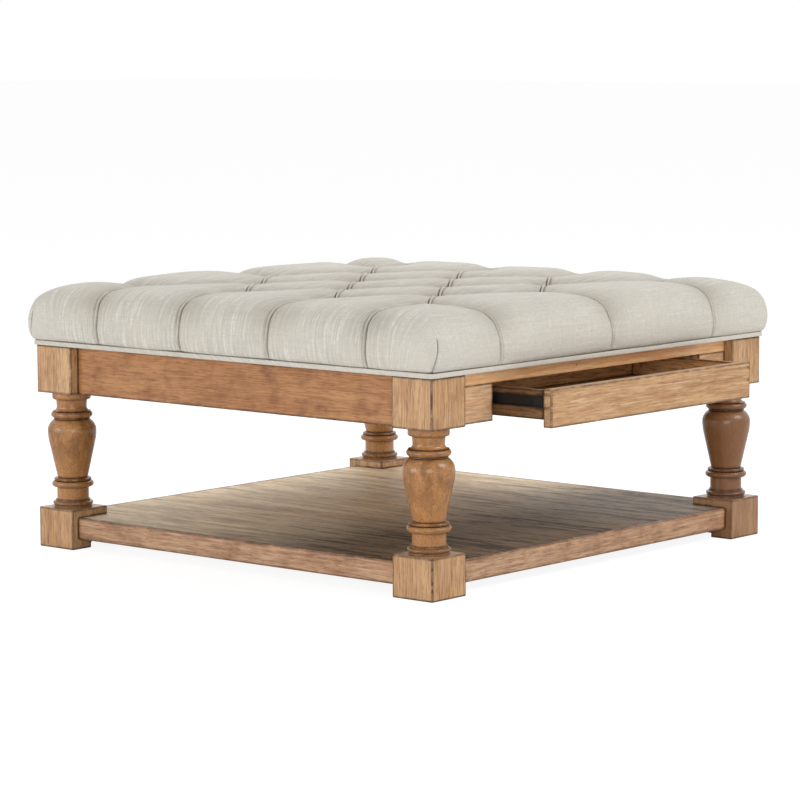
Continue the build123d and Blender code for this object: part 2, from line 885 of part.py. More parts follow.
with board(
    opening_offset - inner_width / 2,
    opening_offset + inner_width / 2,
    back_face,
    drawer_end,
    bottom_top,
    side_top,
) as drawer_back:
    cut_holes(level(bottom_low), brad_spots, brad_radius + screw_clearance, brad_length)
    for way, x in sides.values():
        for height in joint_heights:
            cut_holes(
                beside(way, x + way * drawer_screw_head_height, height),
                [(back_middle, 0)],
                drawer_screw_radius + screw_clearance,
                drawer_screw_length,
            )
save(drawer_back, "drawer_back")

with BuildPart() as drawer_brads:
    add_screws(level(bottom_low), brad_spots, brad_radius, brad_length, brad_head_radius, brad_head_height)
save(drawer_brads, "drawer_brads")

with BuildPart() as drawer_screws:
    for way, x in sides.values():
        for height in joint_heights:
            add_screws(
                beside(way, x + way * drawer_screw_head_height, height),
                [(back_middle, 0)],
                drawer_screw_radius,
                drawer_screw_length,
                drawer_screw_head_radius,
                drawer_screw_head_height,
            )
save(drawer_screws, "drawer_screws")

with BuildPart() as drawer_dowels:
    for way, x in sides.values():
        with BuildSketch(across(90, front_back, -x - way * drawer_side_thickness / 2, 0)):
            with Locations(*[(0, height) for height in joint_heights]):
                Circle(drawer_dowel_radius - dowel_clearance)
        extrude(amount=drawer_dowel_length / 2, both=True)
save(drawer_dowels, "drawer_dowels")

# Slides: a channel on each cheek, a runner on each drawer side, and a cage of balls between them
channel_front = front_back + slide_start + drawer_travel_open
runner_front = front_back + slide_start
ball_rise = (slide_height / 2 - slide_sheet + runner_height / 2) / 2
cage_length = slide_length - drawer_travel_total - cage_play
cage_middle = (channel_front + runner_front + slide_length) / 2
ball_ys = [cage_middle + ball_pitch * (step - (ball_count - 1) / 2) for step in range(ball_count)]
screw_pitch = (slide_length - slide_screw_inset * 2) / (slide_screw_count - 1)
screw_steps = [slide_screw_inset + screw_pitch * step for step in range(slide_screw_count)]
channel_screw_spots = [(channel_front + step, 0) for step in screw_steps]
runner_screw_spots = [(runner_front + step, 0) for step in screw_steps]
ball_spots = {}


def add_channel(way, x, y, height, flange, sheet, length):
    """Adds a C-shaped member to the open part. Its web is at x, and it runs back from y."""
    plane = Plane(origin=(x, table_y + y, slide_z), x_dir=(way, 0, 0), z_dir=(0, 1, 0))
    with BuildSketch(plane) as section:
        Rectangle(flange, height, align=(Align.MIN, Align.CENTER))
        with Locations((sheet, 0)):
            Rectangle(flange, height - sheet * 2, align=(Align.MIN, Align.CENTER), mode=Mode.SUBTRACT)
    extrude(section.sketch, amount=length)


for name, (way, side_x) in sides.items():
    cheek_x = side_x - way * drawer_side_gap
    side_inner = side_x + way * drawer_side_thickness
    with board(
        min(side_x, side_inner), max(side_x, side_inner), front_back, drawer_end, side_low, side_top
    ) as drawer_side:
        cut_groove(side_inner, (front_back + drawer_end) / 2, drawer_groove_depth * 2, drawer_end - front_back)
        cut_front_dowels(side_x + way * drawer_side_thickness / 2)
        for height in joint_heights:
            side_hole = beside(way, side_x, height)
            spots = [(back_middle, 0)]
            cut_holes(side_hole, spots, drawer_screw_radius + screw_clearance, drawer_side_thickness)
            cut_holes(side_hole, spots, drawer_screw_head_radius + screw_clearance, drawer_screw_head_height)
        cut_holes(
            beside(way, side_x, slide_z),
            runner_screw_spots,
            slide_screw_radius + screw_clearance,
            slide_screw_length - slide_sheet + screw_clearance,
        )
    save(drawer_side, f"drawer_side_{name}")

    cheek_outer = cheek_x - way * cheek_thickness
    with board(
        min(cheek_x, cheek_outer),
        max(cheek_x, cheek_outer),
        -apron_back,
        apron_back,
        bearer_low - cheek_height,
        bearer_low,
    ) as drawer_cheek:
        cut_holes(
            beside(-way, cheek_x, slide_z),
            channel_screw_spots,
            slide_screw_radius + screw_clearance,
            slide_screw_length - slide_sheet + screw_clearance,
        )
    save(drawer_cheek, f"drawer_cheek_{name}")

    with BuildPart() as slide_channel:
        add_channel(way, cheek_x, channel_front, slide_height, slide_flange, slide_sheet, slide_length)
        cut_holes(
            beside(way, cheek_x, slide_z),
            channel_screw_spots,
            slide_screw_radius + screw_clearance,
            slide_sheet,
        )
    save(slide_channel, f"slide_channel_{name}")

    with BuildPart() as slide_runner:
        add_channel(-way, side_x, runner_front, runner_height, runner_flange, slide_sheet, slide_length)
        cut_holes(
            beside(-way, side_x, slide_z),
            runner_screw_spots,
            slide_screw_radius + screw_clearance,
            slide_sheet,
        )
    save(slide_runner, f"slide_runner_{name}")

    cage_x = cheek_x + way * cage_stand
    ball_x = cage_x + way * (cage_flange + cage_sheet) / 2
    ball_spots[name] = [(ball_x, y) for y in ball_ys]
    with BuildPart() as slide_cage:
        add_channel(
            way,
            cage_x,
            cage_middle - cage_length / 2,
            ball_rise * 2 + cage_sheet,
            cage_flange,
            cage_sheet,
            cage_length,
        )
        cut_holes(level(slide_z), ball_spots[name], ball_radius + ball_hole_clearance, slide_height / 2, both=True)
    save(slide_cage, f"slide_cage_{name}")

with BuildPart() as slide_balls:
    for height in (slide_z - ball_rise, slide_z + ball_rise):
        with Locations(*[level(height).from_local_coords((x, y, 0)) for x, y in sum(ball_spots.values(), [])]):
            Sphere(ball_radius)
save(slide_balls, "slide_balls")

with BuildPart() as channel_screws:
    for way, side_x in sides.values():
        add_screws(
            beside(-way, side_x - way * (drawer_side_gap - slide_sheet), slide_z),
            channel_screw_spots,
            slide_screw_radius,
            slide_screw_length,
            slide_screw_head_radius,
            slide_screw_head_height,
        )
save(channel_screws, "channel_screws")

with BuildPart() as runner_screws:
    for way, side_x in sides.values():
        add_screws(
            beside(way, side_x - way * slide_sheet, slide_z),
            runner_screw_spots,
            slide_screw_radius,
            slide_screw_length,
            slide_screw_head_radius,
            slide_screw_head_height,
        )
save(runner_screws, "runner_screws")
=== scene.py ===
import math

import bmesh
import bpy
import numpy as np
from mathutils import Matrix, Vector


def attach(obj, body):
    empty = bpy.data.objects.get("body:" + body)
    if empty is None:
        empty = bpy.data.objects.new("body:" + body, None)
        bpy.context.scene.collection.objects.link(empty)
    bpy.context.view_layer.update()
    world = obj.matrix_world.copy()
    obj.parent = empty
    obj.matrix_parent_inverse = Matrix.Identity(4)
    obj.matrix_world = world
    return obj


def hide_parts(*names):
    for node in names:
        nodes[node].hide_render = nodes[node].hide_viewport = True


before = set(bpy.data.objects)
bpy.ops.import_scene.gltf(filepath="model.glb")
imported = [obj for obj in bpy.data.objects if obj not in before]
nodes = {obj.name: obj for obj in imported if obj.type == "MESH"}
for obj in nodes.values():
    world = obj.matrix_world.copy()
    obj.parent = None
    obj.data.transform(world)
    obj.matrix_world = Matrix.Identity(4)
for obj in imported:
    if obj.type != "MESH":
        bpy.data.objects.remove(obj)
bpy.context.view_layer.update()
scene = bpy.context.scene

# Sizes in metres. The middle of the table is a little behind the origin.
TABLE_Y = 0.04625
HALF_SPAN = 0.495  # from the middle to the outer faces of the legs
CUSHION_TOP = 0.508
COVER_FOOT = 0.3993  # the height at which the cushion's cover ends
PITCH_X, PITCH_Y = 0.325, 0.225  # a diamond's width and depth

# Camera, at the photograph's viewpoint
CAMERA_SPOT = (-4.72523, -4.02409, 0.99543)
CAMERA_LENS = 146.02
yaw, pitch, roll = 0.711523, -0.115257, -0.004596
ahead = Vector((math.cos(yaw) * math.cos(pitch), math.sin(yaw) * math.cos(pitch), math.sin(pitch)))
level_right = Vector((math.sin(yaw), -math.cos(yaw), 0))
level_up = level_right.cross(ahead)
right = level_right * math.cos(roll) + level_up * math.sin(roll)
up = level_up * math.cos(roll) - level_right * math.sin(roll)
camera_data = bpy.data.cameras.new("camera")
camera_data.sensor_width = 36
camera_data.lens = CAMERA_LENS
camera_data.clip_end = 100
camera = bpy.data.objects.new("camera", camera_data)
scene.collection.objects.link(camera)
turn = Matrix((right, up, -ahead)).transposed().to_4x4()
camera.matrix_world = Matrix.Translation(CAMERA_SPOT) @ turn
scene.camera = camera


# Colours
def srgb(red, green, blue):
    """A linear colour from three screen values of 0 to 255."""
    parts = [c / 255 for c in (red, green, blue)]
    return tuple(c / 12.92 if c <= 0.04045 else ((c + 0.055) / 1.055) ** 2.4 for c in parts) + (1,)


def three_tones(tone, dark, light):
    """A wood's three colours from screen values."""
    return {"tone": srgb(*tone), "dark": srgb(*dark), "light": srgb(*light)}


def tinted(colour, share):
    """A colour times a share: darker below 1, and lighter above."""
    return tuple(c * share for c in colour[:3]) + (1,)


def between(first, second, share):
    """The colour a share of the way from the first to the second."""
    return tuple(a + (b - a) * share for a, b in zip(first, second))


# Node helpers
def put(tree, socket, value):
    """Links a socket to an output, or sets its value."""
    if isinstance(value, bpy.types.NodeSocket):
        tree.links.new(value, socket)
    elif value is not None:
        socket.default_value = value


def add_node(tree, kind, inputs=(), **settings):
    node = tree.nodes.new("ShaderNode" + kind)
    for key, value in settings.items():
        setattr(node, key, value)
    for key, value in dict(inputs).items():
        put(tree, node.inputs[key], value)
    return node


def maths(tree, operation, a, b=None, c=None, clamp=False):
    node = add_node(tree, "Math", operation=operation, use_clamp=clamp)
    for socket, value in zip(node.inputs, (a, b, c)):
        put(tree, socket, value)
    return node.outputs[0]


def blend(tree, amount, a, b, kind="MIX"):
    """A mix of two colours."""
    node = add_node(tree, "Mix", data_type="RGBA", blend_type=kind)
    put(tree, node.inputs[0], amount)
    put(tree, node.inputs[6], a)
    put(tree, node.inputs[7], b)
    return node.outputs[2]


def layered(tree, colour, layers):
    """A colour with others laid over it, from layers of (mask, share, colour)."""
    for mask, share, over in layers:
        colour = blend(tree, maths(tree, "MULTIPLY", mask, share), colour, over)
    return colour


def ramp(tree, value, *stops):
    """A map of a value through (place, level) stops."""
    node = add_node(tree, "ValToRGB", {"Fac": value})
    while len(node.color_ramp.elements) < len(stops):
        node.color_ramp.elements.new(0.5)
    for element, (place, level) in zip(node.color_ramp.elements, stops):
        element.position = place
        element.color = (level, level, level, 1)
    return node.outputs[0]


def above(tree, value, low, high):
    """A mask that rises from 0 at low to 1 at high."""
    return ramp(tree, value, (low, 0.0), (high, 1.0))


def below(tree, value, low, high):
    """A mask that falls from 1 at low to 0 at high."""
    return ramp(tree, value, (low, 1.0), (high, 0.0))


def stretched(tree, vector, scale, shift=(0, 0, 0)):
    return add_node(tree, "Mapping", {"Vector": vector, "Scale": scale, "Location": shift}).outputs[0]


def noise(tree, vector, scale, detail, roughness=0.55, distortion=0.0):
    settings = {"Scale": scale, "Detail": detail, "Roughness": roughness, "Distortion": distortion}
    return add_node(tree, "TexNoise", {"Vector": vector, **settings}).outputs[0]


def object_place(tree):
    return add_node(tree, "TexCoord").outputs["Object"]


def occlusion(tree, distance, inside=False):
    """How open a point is, from 0 to 1, with what lies within the distance."""
    return add_node(tree, "AmbientOcclusion", {"Distance": distance}, samples=8, inside=inside).outputs["AO"]


def material(name):
    """A new material, with its node tree and its shader."""
    mat = bpy.data.materials.new(name)
    mat.use_nodes = True
    tree = mat.node_tree
    tree.nodes.clear()
    shader = add_node(tree, "BsdfPrincipled")
    add_node(tree, "OutputMaterial", {"Surface": shader.outputs[0]})
    return mat, tree, shader


def surface(tree, shader, colour, roughness, relief, strength, distance):
    """Gives a shader its colour and roughness, and bumps from a relief."""
    put(tree, shader.inputs["Base Color"], colour)
    put(tree, shader.inputs["Roughness"], roughness)
    bump = add_node(tree, "Bump", {"Height": relief, "Strength": strength, "Distance": distance})
    put(tree, shader.inputs["Normal"], bump.outputs[0])


# Materials
def vase_coat(tree, place, moved, vase, dark, foot_too):
    """The mottled coat of a leg's turned part, and a mask of the heights that have it.

    The ramps' places are twice the height in metres. The vase's two ends are paler than its middle.
    """
    height = maths(tree, "MULTIPLY", add_node(tree, "SeparateXYZ", {0: place}).outputs[2], 2)
    on_foot = 0.6 if foot_too else 0.0
    zone = ramp(tree, height, (0.1525, on_foot), (0.1535, 1.0), (0.5965, 1.0), (0.5975, 0.0))
    ends = ramp(tree, height, (0.30, 0.7), (0.42, 0.0), (0.50, 0.0), (0.56, 0.5))
    cloud = noise(tree, stretched(tree, moved, (42, 42, 24)), 1, 5, 0.68, 0.6)
    pale = maths(tree, "MAXIMUM", above(tree, cloud, 0.38, 0.60), ends)
    coat = blend(tree, pale, tinted(between(vase, dark, 0.7), 0.86), tinted(vase, 1.42))
    speckle = noise(tree, moved, 330, 3, 0.6)
    coat = layered(tree, coat, [(above(tree, speckle, 0.50, 0.62), 0.6, tinted(dark, 0.7))])
    return coat, zone


def dent(tree, place, wear, spot, size):
    """A mask of a small dark spot with a worn rim."""
    apart = add_node(tree, "VectorMath", {0: place, 1: spot}, operation="SUBTRACT").outputs[0]
    shares = add_node(tree, "VectorMath", {0: apart, 1: size}, operation="DIVIDE").outputs[0]
    away = add_node(tree, "VectorMath", {0: shares}, operation="LENGTH").outputs["Value"]
    return below(tree, maths(tree, "MULTIPLY_ADD", wear, 0.8, maths(tree, "SUBTRACT", away, 0.4)), 0.55, 1.0)


def towards_front(tree, place):
    """A mask that grows towards the front, and a little towards the sides, where the shelf gets painted shade.
    """
    x, y, _ = add_node(tree, "SeparateXYZ", {0: place}).outputs
    forward = maths(tree, "SUBTRACT", maths(tree, "MULTIPLY_ADD", maths(tree, "ABSOLUTE", x), 0.2, 0.5), y)
    return ramp(tree, forward, (0.42, 0.0), (0.70, 0.9), (0.78, 1.0))


def wood(name, axis, tone, dark, light, shift=0, figure=0.5, pores=0.6, banding=0.2, mottle=0.3, edges=0.95,
         lime=0.0, stains_and_shade=0.0, front_shade=None, vase=None, foot_too=False, marks=(), rough=0.42, shine=0.38):
    """Open-grained, glazed wood.

    The axis is 0, 1 or 2 for grain along X, Y or Z, and the shift picks another part of the pattern. From
    figure to the share of stains, the numbers are shares of 0 to 1. Where stains are set, the wood is also
    multiplied by a darker colour towards the front and the sides: a painted shade.
    The vase is the tone of a leg's turned part, which the foot has only where foot_too is true. Each mark is
    the place and size of a dark spot.
    """
    mat, tree, shader = material(name)
    place = object_place(tree)
    moved = stretched(tree, place, (1, 1, 1), (shift * 1.7, shift * 2.3, shift * 3.1))

    def grain(across, lengthwise, detail, roughness=0.55, distortion=0.0, start=(0, 0, 0)):
        scale = tuple(lengthwise if i == axis else across for i in range(3))
        return noise(tree, stretched(tree, moved, scale, start), 1, detail, roughness, distortion)

    broad = grain(14, 1.6, 3, 0.6, 0.8)
    rings = maths(tree, "MULTIPLY", grain(24, 1.2, 1, 0.4, 0.3), 8)
    rings = maths(tree, "PINGPONG", maths(tree, "MULTIPLY_ADD", grain(9, 2.2, 2), 2.5, rings), 0.5)
    rings = ramp(tree, maths(tree, "MULTIPLY", rings, 2), (0.0, 0.0), (0.55, 0.25), (1.0, 1.0))
    bands = grain(46, 2.0, 6, 0.72, 0.3)
    streaks = grain(230, 12, 4, 0.65, 0.3)
    dashes = grain(460, 36, 2)
    long_pores = grain(560, 14, 2, 0.6, start=(2, 4, 6))
    pore = maths(tree, "MAXIMUM", above(tree, dashes, 0.54, 0.62), above(tree, long_pores, 0.58, 0.66))
    blotch = noise(tree, moved, 22, 5, 0.62)
    layers = [
        (rings, figure * 0.6, dark),
        (above(tree, bands, 0.50, 0.66), banding, dark),
        (below(tree, bands, 0.34, 0.48), banding, light),
        (above(tree, streaks, 0.50, 0.64), figure, dark),
        (below(tree, streaks, 0.34, 0.47), figure, light),
        (above(tree, blotch, 0.48, 0.72), mottle, dark),
        (below(tree, dashes, 0.32, 0.44), pores * 0.45, light),
        (pore, pores, tinted(dark, 0.62)),
    ]
    if vase:
        coat, zone = vase_coat(tree, place, moved, vase, dark, foot_too)
        layers.append((zone, 0.86, coat))
        pore = maths(tree, "MULTIPLY", pore, maths(tree, "MULTIPLY_ADD", zone, -0.8, 1.0))
    if lime:
        chalk = grain(300, 13, 4, 0.6, start=(3, 5, 7))
        layers.append((above(tree, chalk, 0.54, 0.70), lime, srgb(226, 204, 176)))

    # Dark glaze on outer edges, where it is worn off in places, and in inner corners
    wear = noise(tree, moved, 70, 4, 0.65)
    rim = maths(tree, "MULTIPLY", below(tree, occlusion(tree, 0.005, inside=True), 0.7, 0.98),
                ramp(tree, wear, (0.36, 0.4), (0.52, 1.0)))
    layers.append((rim, edges, tinted(dark, 0.3)))
    layers.append((below(tree, occlusion(tree, 0.0055), 0.42, 0.86), edges, tinted(dark, 0.22)))
    layers += [(dent(tree, place, wear, *mark), 0.9, tinted(dark, 0.22)) for mark in marks]
    # Dark and pale stain streaks; the dark ones grow stronger towards the front as part of the painted shade
    # there
    if stains_and_shade:
        forward = towards_front(tree, place)
        stain = grain(52, 4.5, 5, 0.72, start=(5, 2, 8))
        share = maths(tree, "MULTIPLY_ADD", forward, stains_and_shade * 0.72, stains_and_shade * 0.28)
        layers.append((above(tree, stain, 0.525, 0.555), share, tinted(dark, 0.6)))
        layers.append((below(tree, stain, 0.40, 0.45), stains_and_shade, light))
    colour = layered(tree, blend(tree, above(tree, broad, 0.3, 0.7), tone, light), layers)
    # Painted shade: towards the front and the sides the colour is multiplied by a darker one
    if stains_and_shade:
        colour = blend(tree, forward, colour, front_shade, "MULTIPLY")

    roughness = maths(tree, "MULTIPLY_ADD", pore, 0.2, rough)
    fibre = grain(1100, 60, 2, 0.6)
    relief = maths(tree, "MULTIPLY_ADD", pore, -0.7, maths(tree, "MULTIPLY", fibre, 0.3))
    shader.inputs["Specular IOR Level"].default_value = shine
    surface(tree, shader, colour, roughness, relief, 0.45, 0.0006)
    return mat


def linen(name, tone=srgb(216, 211, 200)):
    """A plain weave of slubby yarns, laid on by the weave map, which is in metres, with painted shade in the
    folds and painted highlights beside them.
    """
    mat, tree, shader = material(name)
    place = add_node(tree, "UVMap", uv_map="weave").outputs[0]
    along_y = add_node(tree, "SeparateXYZ", {0: place}).outputs[1]
    quiet = ramp(tree, maths(tree, "ABSOLUTE", along_y), (0.42, 1.0), (0.50, 0.35))
    bold = noise(tree, stretched(tree, place, (9, 190, 1)), 1, 3, 0.6, 0.15)
    slub = noise(tree, stretched(tree, place, (22, 420, 1)), 1, 3, 0.62, 0.1)
    cross = noise(tree, stretched(tree, place, (300, 14, 1), (4, 4, 4)), 1, 3, 0.62, 0.1)
    warp = noise(tree, stretched(tree, place, (90, 620, 1)), 1, 2)
    weft = noise(tree, stretched(tree, place, (620, 90, 1), (9, 9, 9)), 1, 2)
    shade = noise(tree, place, 9, 4, 0.6)
    painted_fold_shade = add_node(tree, "Attribute", attribute_name="painted_fold_shade").outputs["Fac"]
    pale, dim, gap = srgb(232, 228, 218), tinted(tone, 0.77), tinted(tone, 0.74)
    colour = layered(tree, tone, [
        (below(tree, slub, 0.36, 0.58), quiet, dim),
        (ramp(tree, bold, (0.53, 0.0), (0.64, 0.95)), quiet, pale),
        (ramp(tree, bold, (0.34, 0.8), (0.46, 0.0)), quiet, dim),
        (above(tree, cross, 0.52, 0.70), 0.4, dim),
        (below(tree, cross, 0.30, 0.46), 0.4, pale),
        (below(tree, warp, 0.40, 0.60), 0.45, gap),
        (below(tree, weft, 0.40, 0.60), 0.35, gap),
        (above(tree, shade, 0.45, 0.7), 0.35, srgb(203, 194, 178)),
        # Painted shade in the creases, the valleys and at the cover's foot, and painted highlights on the
        # tucks' beads
        (maths(tree, "MULTIPLY", painted_fold_shade, 0.74, clamp=True), 1.0, srgb(106, 88, 62)),
        (maths(tree, "MULTIPLY", painted_fold_shade, -1.6, clamp=True), 1.0, pale),
    ])
    relief = maths(tree, "ADD", slub, maths(tree, "ADD", warp, weft))
    relief = maths(tree, "ADD", relief, maths(tree, "MULTIPLY", cross, 0.7))
    shader.inputs["Specular IOR Level"].default_value = 0.2
    shader.inputs["Sheen Weight"].default_value = 0.1
    shader.inputs["Sheen Roughness"].default_value = 0.5
    surface(tree, shader, colour, 0.92, relief, 0.6, 0.0007)
    return mat


def metal(name, tone, rough, metallic=1.0):
    mat, tree, shader = material(name)
    place = object_place(tree)
    grime = noise(tree, place, 60, 5, 0.65)
    lines = noise(tree, stretched(tree, place, (900, 40, 900)), 1, 3, 0.6)
    colour = blend(tree, above(tree, grime, 0.4, 0.7), tone, tinted(tone, 0.7))
    shader.inputs["Metallic"].default_value = metallic
    surface(tree, shader, colour, maths(tree, "MULTIPLY_ADD", lines, 0.1, rough), lines, 0.15, 0.0002)
    return mat


def plastic(name, tone):
    mat, tree, shader = material(name)
    grain = noise(tree, object_place(tree), 900, 3, 0.6)
    surface(tree, shader, blend(tree, grain, tone, tinted(tone, 0.9)), 0.55, grain, 0.2, 0.0002)
    return mat


LEG = three_tones((192, 146, 100), (130, 84, 48), (214, 174, 130))
APRON = three_tones((167, 112, 66), (114, 65, 34), (188, 136, 88))
FRONT = three_tones((192, 146, 100), (138, 92, 54), (212, 172, 128))
# The front rail's wood is the apron's made much lighter: painted light for the rail's place in the shade under
# the cushion's overhang.
LIT_RAIL = three_tones((255, 196, 136), (224, 150, 96), (255, 218, 168))
# The stiles' wood is the drawer front's made a little lighter: painted light for their place in the shade under
# the cushion.
LIT_STILE = three_tones((198, 151, 107), (142, 96, 60), (220, 182, 142))
# The drawer box's wood has a shaded and a lit copy: the darker one is painted shade on the outer left side, and
# the lighter one is painted light on the right side and the back.
SHADED_BOX = three_tones((124, 86, 54), (80, 50, 30), (150, 112, 74))
LIT_BOX = three_tones((226, 168, 112), (168, 114, 70), (240, 194, 140))
SHELF = three_tones((246, 216, 174), (104, 76, 50), (255, 236, 202))
EDGE = three_tones((182, 136, 100), (120, 78, 50), (206, 168, 134))
RAW = three_tones((200, 168, 128), (158, 120, 82), (216, 188, 150))
# The second vase tone is a darker copy: painted shade for the front right leg under the deck and drawer.
VASE, SHADED_VASE = srgb(160, 111, 62), srgb(100, 60, 31)

# Marks: a crack and chips on the near leg's outer edge, and a nail hole in the front rail
near_edge = (-HALF_SPAN, TABLE_Y - HALF_SPAN)
crack = ((*near_edge, 0.352), (0.0035, 0.0035, 0.024))
chips = [((*near_edge, z), (0.0024, 0.0024, 0.006)) for z in (0.020, 0.034, 0.058)]
nail_hole = ((-0.0634, -0.42925, 0.3785), (0.0022, 0.0022, 0.0022))

leg_finish = {**LEG, "rough": 0.27, "shine": 0.42, "pores": 0.5, "figure": 0.32}
apron_finish = {**APRON, "pores": 0.34, "figure": 0.32, "mottle": 0.6}
edge_finish = {**EDGE, "pores": 0.4, "mottle": 0.6, "lime": 0.3}
raw_finish = {**RAW, "rough": 0.7, "edges": 0.2}
leg_wood = wood("leg_wood", 2, vase=VASE, marks=[crack, *chips], **leg_finish)
# The front right leg's copy is darker on its turned part and its foot: painted shade.
shaded_leg_wood = wood("shaded_leg_wood", 2, vase=SHADED_VASE, foot_too=True, shift=0.6, **leg_finish)
side_apron_wood = wood("side_apron_wood", 1, shift=1, **apron_finish)
cross_apron_wood = wood("cross_apron_wood", 0, shift=2, **apron_finish)
lit_rail_wood = wood("lit_rail_wood", 0, shift=2, pores=0.2, edges=0.3, marks=[nail_hole], **LIT_RAIL)
stile_wood = wood("stile_wood", 0, shift=3, pores=0.3, figure=0.35, lime=0.6, **LIT_STILE)
front_wood = wood("front_wood", 0, shift=4.4, pores=0.3, figure=0.35, lime=0.6, banding=0.5, **FRONT)
shaded_box_side_wood = wood("shaded_box_side_wood", 1, shift=5, **SHADED_BOX)
lit_box_side_wood = wood("lit_box_side_wood", 1, shift=5.5, **LIT_BOX)
lit_box_back_wood = wood("lit_box_back_wood", 0, shift=6, **LIT_BOX)
# The shelf's stains come with painted shade towards its front and sides
shelf_wood = wood("shelf_wood", 1, shift=7, figure=0.28, pores=0.26, banding=0.25, mottle=0.15, stains_and_shade=0.85,
                  front_shade=(0.23, 0.19, 0.155, 1), rough=0.5, shine=0.14, **SHELF)
side_edge_wood = wood("side_edge_wood", 1, shift=8, **edge_finish)
cross_edge_wood = wood("cross_edge_wood", 0, shift=9, **edge_finish)
raw_side_wood = wood("raw_side_wood", 1, shift=10, **raw_finish)
raw_cross_wood = wood("raw_cross_wood", 0, shift=11, **raw_finish)
ply_wood = wood("ply_wood", 0, shift=12, rough=0.65, edges=0.2, **RAW)
fabric = linen("linen")
black = metal("black_steel", srgb(30, 30, 31), 0.42, metallic=0.4)
zinc = metal("zinc_steel", srgb(186, 188, 190), 0.3)
grey_plastic = plastic("toggle_plastic", srgb(222, 222, 218))

# The first of these that a node's name starts with gives its look. All other nodes are zinc.
looks = {
    "leg_front_right": shaded_leg_wood,
    "leg_": leg_wood,
    "apron_rear": cross_apron_wood,
    "apron_": side_apron_wood,
    "front_rail": lit_rail_wood,
    "front_stile": stile_wood,
    "drawer_front": front_wood,
    "drawer_side_left": shaded_box_side_wood,
    "drawer_side_right": lit_box_side_wood,
    "drawer_back": lit_box_back_wood,
    "drawer_bottom": ply_wood,
    "drawer_cheek": raw_side_wood,
    "drawer_dowels": raw_side_wood,
    "deck_board": ply_wood,
    "deck_bearer": raw_cross_wood,
    "corner_brace": raw_cross_wood,
    "frame_dowels": raw_cross_wood,
    "shelf_panel": shelf_wood,
    "shelf_edge_front": cross_edge_wood,
    "shelf_edge_rear": cross_edge_wood,
    "shelf_edge_": side_edge_wood,
    "shelf_batten": raw_cross_wood,
    "shelf_block": raw_cross_wood,
    "slide_balls": zinc,
    "slide_": black,
    "channel_screws": black,
    "runner_screws": black,
    "tuft_toggles": grey_plastic,
    "tuft_buttons": fabric,
    "cushion": fabric,
    "edge_band": fabric,
}
for name, thing in nodes.items():
    look = next((mat for start, mat in looks.items() if name.startswith(start)), zinc)
    for slot in thing.material_slots:
        slot.material = look
    if not thing.material_slots:
        thing.data.materials.append(look)

# Cushion: a flat sheet is bent over rounded squares, then pulled in along channels, pockets and pleats.
# The profile is the way out from HALF_SPAN and the height, in millimetres.
PROFILE = [
    (-80, 507.8), (-62, 507.3), (-44, 505.4), (-28, 502.0), (-15.5, 497.0), (-4, 489.6), (4.5, 480.6),
    (10, 470.2), (13.6, 459), (15.6, 446), (16, 432), (14.6, 419), (11.8, 408.5), (8.2, 402.3), (2.5, 399.3),
]
CURVE_STEPS = 24  # from each of the profile's points to the next
CORNER_RADII = {0: 0.062, 3: 0.042, 6: 0.026, 10: 0.020, 14: 0.012}  # in plan, at points of the profile
FLAT_HALF = HALF_SPAN - 0.080  # where the profile starts
SQUARE_HALF = 0.40  # what lies further out is drawn in with the sides
ROUND_FROM = 0.33  # where the plan's corners begin to be round
GRID_CELL = 0.0046
FINER_WITHIN = (0.0105, 0.0085, 0.0020)  # the distances from a crease in which the grid is halved again
SLOPE_STEP = 0.0006  # between the points that give a normal

HILLS = [  # places on the sheet, and how far each stands up
    (-0.15, 0.42, 0.0045), (0.43, 0.22, -0.0022), (0.43, 0, -0.0024), (0.43, -0.22, -0.0022),
    (0.47, -0.45, -0.005),
]
HILL_WIDTH = 0.085
CHANNEL_DEPTH = 0.027  # at a tuft
RISING_DEPTH, FALLING_DEPTH = 0.005, 0.017  # in a channel's middle, by the way it runs
PLEAT_DEPTH = 0.009
POCKET_DEPTH, POCKET_WIDTH = 0.020, 0.027
VALLEY_WIDTH, SHADE_WIDTH = 0.090, 0.086  # from a crease to where the cushion is full, and where it is bright
CREASE_POWER = 6.0  # how sharply the nearest crease rules
TUCK_REACH = 0.014  # from a crease, how far its small folds go
TUCK_TOP = 0.112  # where the corners' tucks begin, as a run from FLAT_HALF
LINE_WIDTH = 0.0010
BEAD_AT, FAINT_AT, FAINT_WIDTH = 0.0033, 0.0064, 0.0009
FRONT_LEANS = {-1: 0.013, 0: 0.012, 1: 0.003}  # how far the pleats at front and rear lean, by their places
SIDE_LEANS = {-3: 0.016, -1: 0.006, 1: 0.009, 3: 0.020}

tufts = np.array([
    (i * PITCH_X / 2, j * PITCH_Y / 2) for i in range(-2, 3) for j in range(-3, 4) if (i + j) % 2
])
channels = [
    (a, b, RISING_DEPTH if (b - a).prod() > 0 else FALLING_DEPTH)
    for n, a in enumerate(tufts) for b in tufts[n + 1:]
    if np.allclose(np.abs(a - b), (PITCH_X / 2, PITCH_Y / 2))
]
pleats = [
    ((i * PITCH_X, way * PITCH_Y * 1.5), (0, way), lean)
    for i, lean in FRONT_LEANS.items() for way in (-1, 1)
] + [
    ((way * PITCH_X, j * PITCH_Y / 2), (way, 0), lean)
    for j, lean in SIDE_LEANS.items() for way in (-1, 1)
]


